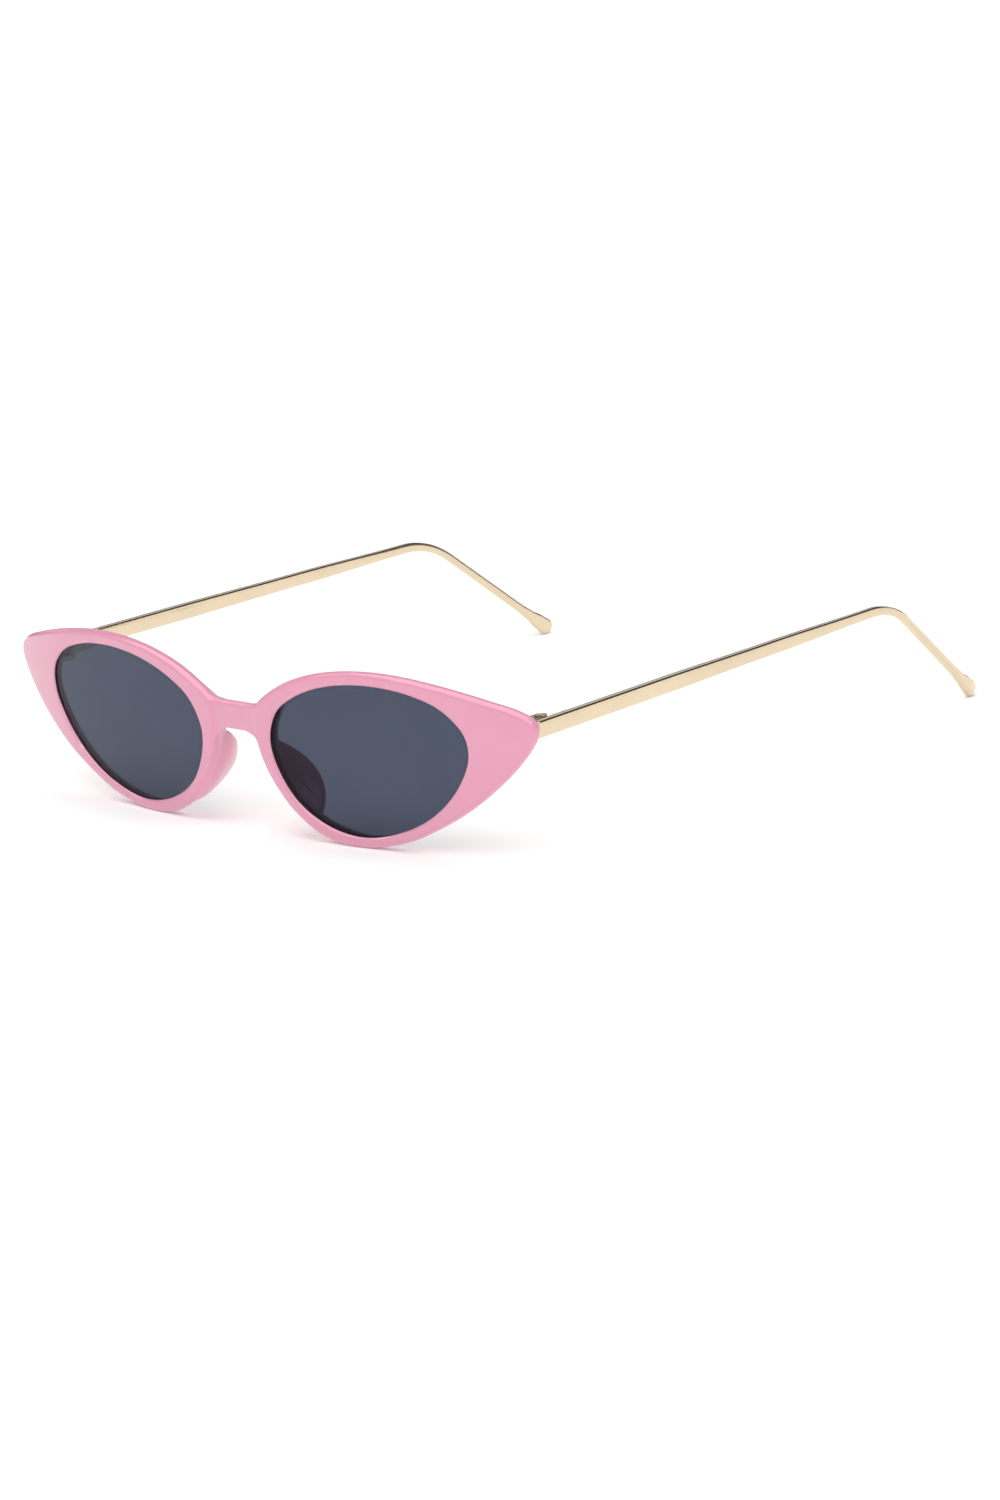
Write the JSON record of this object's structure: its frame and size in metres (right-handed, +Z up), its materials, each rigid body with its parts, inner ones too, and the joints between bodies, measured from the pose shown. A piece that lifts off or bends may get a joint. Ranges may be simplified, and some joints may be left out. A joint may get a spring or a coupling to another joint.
{
  "type": "cat eye sunglasses",
  "caption": "Cat eye sunglasses with a moulded front, tinted lenses and slim metal temples that fold inwards on barrel hinges.",
  "frame": {"origin": "On the surface that the open sunglasses stand on, under the middle of their width and of their length.", "axes": "+X towards the wearer's left, +Y from the front back to the temple tips, +Z up."},
  "size_m": [0.1416, 0.151, 0.0355],
  "materials": {
    "pink_plastic": "opaque pink plastic, tumbled to a soft gloss",
    "tinted_lens": "dark blue-grey tinted polycarbonate, polished both sides",
    "gold_hinge": "pale gold plating, polished",
    "gold_screw": "pale gold plating, turned",
    "gold_temple": "pale champagne gold plating, satin polished"
  },
  "bodies": {
    "front": {"front_frame": "pink_plastic", "lens_left": "tinted_lens", "lens_right": "tinted_lens", "front_hinge_left": "gold_hinge", "front_hinge_right": "gold_hinge", "hinge_screw_left": "gold_screw", "hinge_screw_right": "gold_screw"},
    "left_temple": {"temple_left": "gold_temple", "temple_hinge_left": "gold_hinge"},
    "right_temple": {"temple_right": "gold_temple", "temple_hinge_right": "gold_hinge"}
  },
  "joints": [
    {"name": "left_temple_fold", "type": "hinge", "parent": "front", "child": "left_temple", "pos_m": [0.0652, -0.05712, 0.02533], "axis": [0, 0, 1], "range_deg": [0, 90]},
    {"name": "right_temple_fold", "type": "hinge", "parent": "front", "child": "right_temple", "pos_m": [-0.0652, -0.05712, 0.02533], "axis": [0, 0, -1], "range_deg": [0, 86]}
  ]
}
